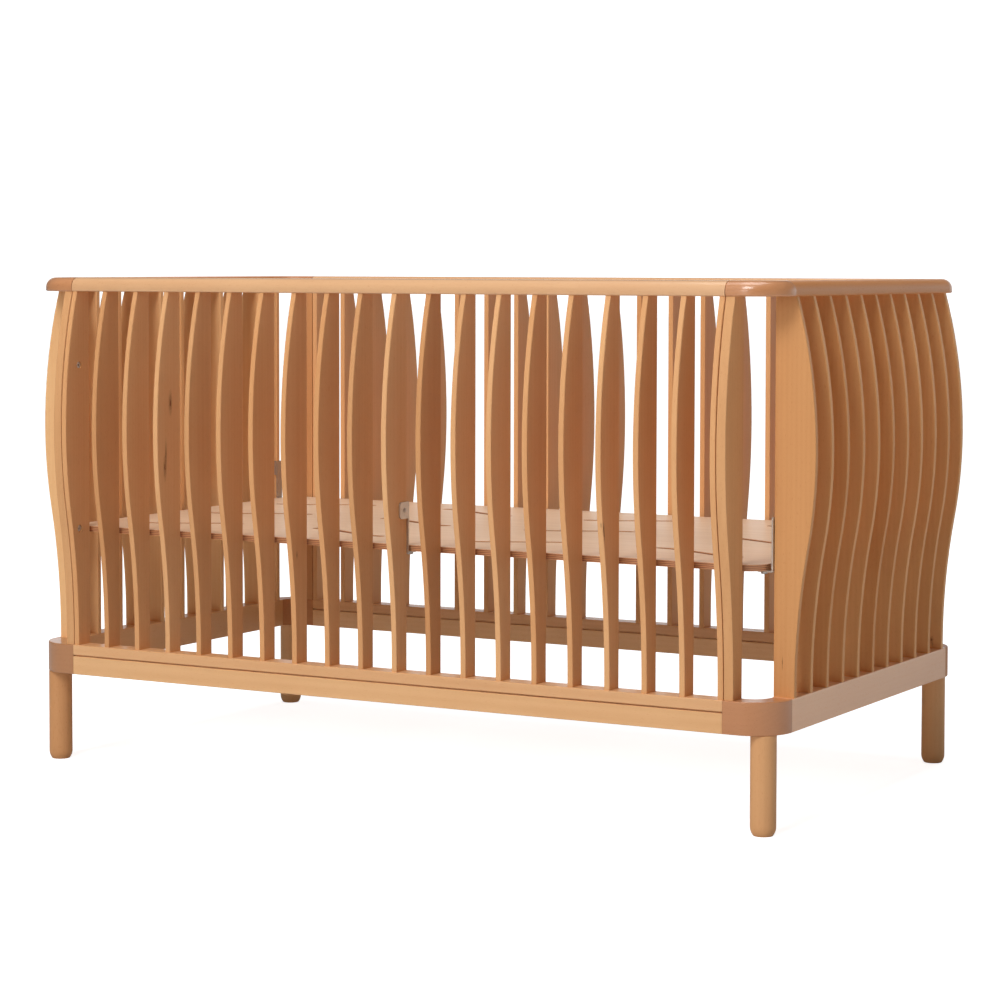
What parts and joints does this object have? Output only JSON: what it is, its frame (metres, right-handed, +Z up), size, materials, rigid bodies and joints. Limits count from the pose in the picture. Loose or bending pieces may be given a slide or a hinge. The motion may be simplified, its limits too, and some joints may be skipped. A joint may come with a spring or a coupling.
{
  "type": "baby crib",
  "caption": "Baby crib on round legs, with bulging upright fins between a rounded top rail and a low frame, and a slotted mattress base that can be lowered.",
  "frame": {"origin": "on the floor, at the centre of the crib's plan", "axes": "+X along the long side towards the right end, +Y towards the back, +Z up; the front long side faces -Y"},
  "size_m": [1.465, 0.842, 0.837],
  "materials": {
    "beech": "satin clear lacquer",
    "corner_beech": "satin clear lacquer",
    "pale_beech": "satin clear lacquer",
    "plywood": "clear lacquered plywood",
    "dowel_beech": "raw",
    "bracket_steel": "zinc plated sheet",
    "zinc_steel": "zinc plated"
  },
  "bodies": {
    "crib_frame": {"front_top_rail": "beech", "back_top_rail": "beech", "left_top_rail": "beech", "right_top_rail": "beech", "front_bottom_rail": "beech", "back_bottom_rail": "beech", "front_beam": "beech", "back_beam": "beech", "front_fin_01": "beech", "front_fin_02": "beech", "front_fin_03": "beech", "front_fin_04": "beech", "front_fin_05": "beech", "front_fin_06": "beech", "front_fin_07": "beech", "front_fin_08": "beech", "front_fin_09": "beech", "front_fin_10": "beech", "front_fin_11": "beech", "front_fin_12": "beech", "front_fin_13": "beech", "front_fin_14": "beech", "front_fin_15": "beech", "front_fin_16": "beech", "front_fin_17": "beech", "front_fin_18": "beech", "front_fin_19": "beech", "front_fin_20": "beech", "back_fins": "beech", "left_end_fins": "beech", "right_end_fins": "beech", "return_fins": "beech", "leg_front_left": "beech", "leg_front_right": "beech", "leg_back_left": "beech", "leg_back_right": "beech", "top_corner_front_left": "corner_beech", "top_corner_front_right": "corner_beech", "top_corner_back_left": "corner_beech", "top_corner_back_right": "corner_beech", "base_corner_front_left": "corner_beech", "base_corner_front_right": "corner_beech", "base_corner_back_left": "corner_beech", "base_corner_back_right": "corner_beech", "left_end_beam": "pale_beech", "right_end_beam": "pale_beech", "joint_dowels": "dowel_beech", "panel_bolts": "zinc_steel", "panel_inserts": "zinc_steel", "leg_bolts": "zinc_steel", "leg_inserts": "zinc_steel", "beam_screws": "zinc_steel"},
    "mattress_support": {"mattress_base": "plywood", "corner_brackets": "bracket_steel", "side_brackets": "bracket_steel", "bracket_screws": "zinc_steel", "base_bolts": "zinc_steel", "base_inserts": "zinc_steel"}
  },
  "joints": [
    {"name": "base_height", "type": "slide", "parent": "crib_frame", "child": "mattress_support", "axis": [0, 0, 1], "range_m": [-0.229, 0]}
  ]
}
